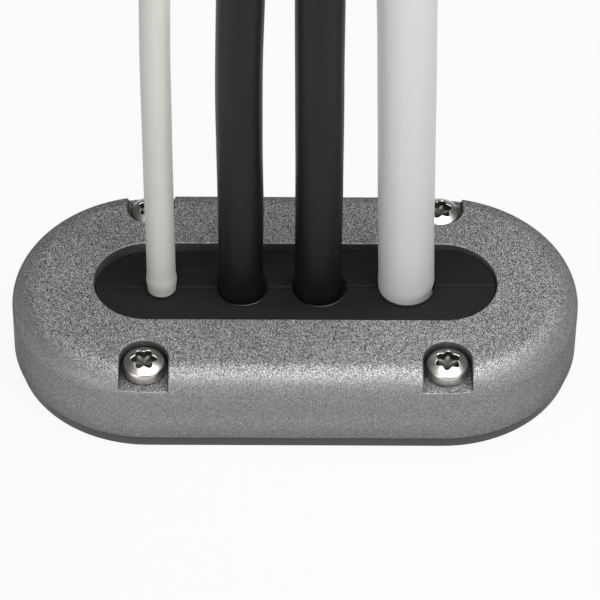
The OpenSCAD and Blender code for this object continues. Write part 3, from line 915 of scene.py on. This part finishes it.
screws = []
for side_x, side_y, degrees in SCREWS:
    angle = turn + np.radians(degrees)
    rings = np.stack([side_x * SCREW_X + radius * np.cos(angle),
                      side_y * SCREW_Y + radius * np.sin(angle), height], -1)
    screws.append((*wrap(rings), drive_shade_faces))
stainless = make_finish("polished_stainless", (0.62, 0.60, 0.57), 0.36, (3000.0, 1.0, 0.1),
                        0.008, (300.0, 0.15), Metallic=1.0)
# painted shade: a dark steel stands in for the shade in each drive's recess
drive_shade_steel = make_finish("drive_shade_steel", (0.11, 0.107, 0.10), 0.45, (4000.0, 1.0, 0.3), 0.03,
                            (300.0, 0.15), Metallic=1.0)
make_piece("pan_head_screws", screws, [stainless, drive_shade_steel], "cover_screws",
           crisp=40)

# %% [markdown]
# ## Floor and light
# The photograph has a white background and no shadow to speak of. The floor is the deck's plane,
# so it hides what would be under the deck. It is white to the camera and in reflections, and
# it keeps a share of its own shading, so the object's shadow stays. Metal shows mostly what it
# mirrors, so the lamps are large: a softbox overhead to the right, and weaker ones at the sides.

# %% The floor
FLOOR_HALF = 4.0         # half its side, in metres
FLOOR_DROP = 0.00005     # it lies a hair under the gasket's foot, in metres

floor_mesh = bpy.data.meshes.new("floor")
floor_mesh.from_pydata([(x * FLOOR_HALF, y * FLOOR_HALF, -FLOOR_DROP)
                        for x, y in ((-1, -1), (1, -1), (1, 1), (-1, 1))], [], [(0, 1, 2, 3)])
floor = bpy.data.objects.new("floor", floor_mesh)
bpy.context.scene.collection.objects.link(floor)
print("floor of", 2 * FLOOR_HALF, "m at", -FLOOR_DROP, "m")

# %% The floor's material
WHITE_SHARE = 0.92       # what is seen of it: white by this share, and its own shading by the rest

pale = bpy.data.materials.new("pale_floor")
pale.use_nodes = True
tree = pale.node_tree
tree.nodes["Principled BSDF"].inputs["Base Color"].default_value = (0.5, 0.5, 0.5, 1)
tree.nodes["Principled BSDF"].inputs["Roughness"].default_value = 0.9
seen = add_node(tree, "LightPath").outputs
any_seen = combine(tree, "MAXIMUM", seen["Is Camera Ray"], seen["Is Glossy Ray"])
any_seen = combine(tree, "MAXIMUM", any_seen, seen["Is Transmission Ray"])
white = add_node(tree, "Emission", {"Color": (1, 1, 1, 1), "Strength": 1.0})
both = add_node(tree, "MixShader", {0: combine(tree, "MULTIPLY", any_seen, WHITE_SHARE),
                                    1: tree.nodes["Principled BSDF"].outputs[0],
                                    2: white.outputs[0]})
tree.links.new(both.outputs[0], tree.nodes["Material Output"].inputs["Surface"])
floor_mesh.materials.append(pale)

# %% The lamps and the world
def softbox(name, place, aim, width, height, watts):
    """A rectangular lamp, placed and aimed in millimetres."""
    lamp = bpy.data.lights.new(name, "AREA")
    lamp.shape, lamp.size, lamp.size_y, lamp.energy = "RECTANGLE", width * MM, height * MM, watts
    box = bpy.data.objects.new(name, lamp)
    back = np.array(place, float) - aim
    back /= np.linalg.norm(back)
    side = np.cross([0, 1, 0], back) if abs(back[2]) > 0.9 else np.cross([0, 0, 1], back)
    side /= np.linalg.norm(side)
    turned = np.column_stack([side, np.cross(back, side), back, np.array(place) * MM])
    box.matrix_world = Matrix(np.vstack([turned, [0, 0, 0, 1]]).tolist())
    box.visible_camera = False
    bpy.context.scene.collection.objects.link(box)


MIDDLE = np.array([0.0, 0.0, 20.0])
softbox("overhead", (75, -95, 400), MIDDLE, 430, 430, 2.95)
softbox("left", (-450, -525, 190), MIDDLE, 350, 350, 1.55)
softbox("right", (500, -485, 190), MIDDLE, 350, 350, 0.64)

world = bpy.data.worlds.new("studio")
bpy.context.scene.world = world
world.use_nodes = True
world.node_tree.nodes["Background"].inputs["Color"].default_value = (0.06, 0.06, 0.06, 1)
bpy.context.scene.view_settings.view_transform = "Standard"
print("lamps:", ", ".join(f"{lamp.name} {lamp.energy:.2f} W" for lamp in bpy.data.lights))
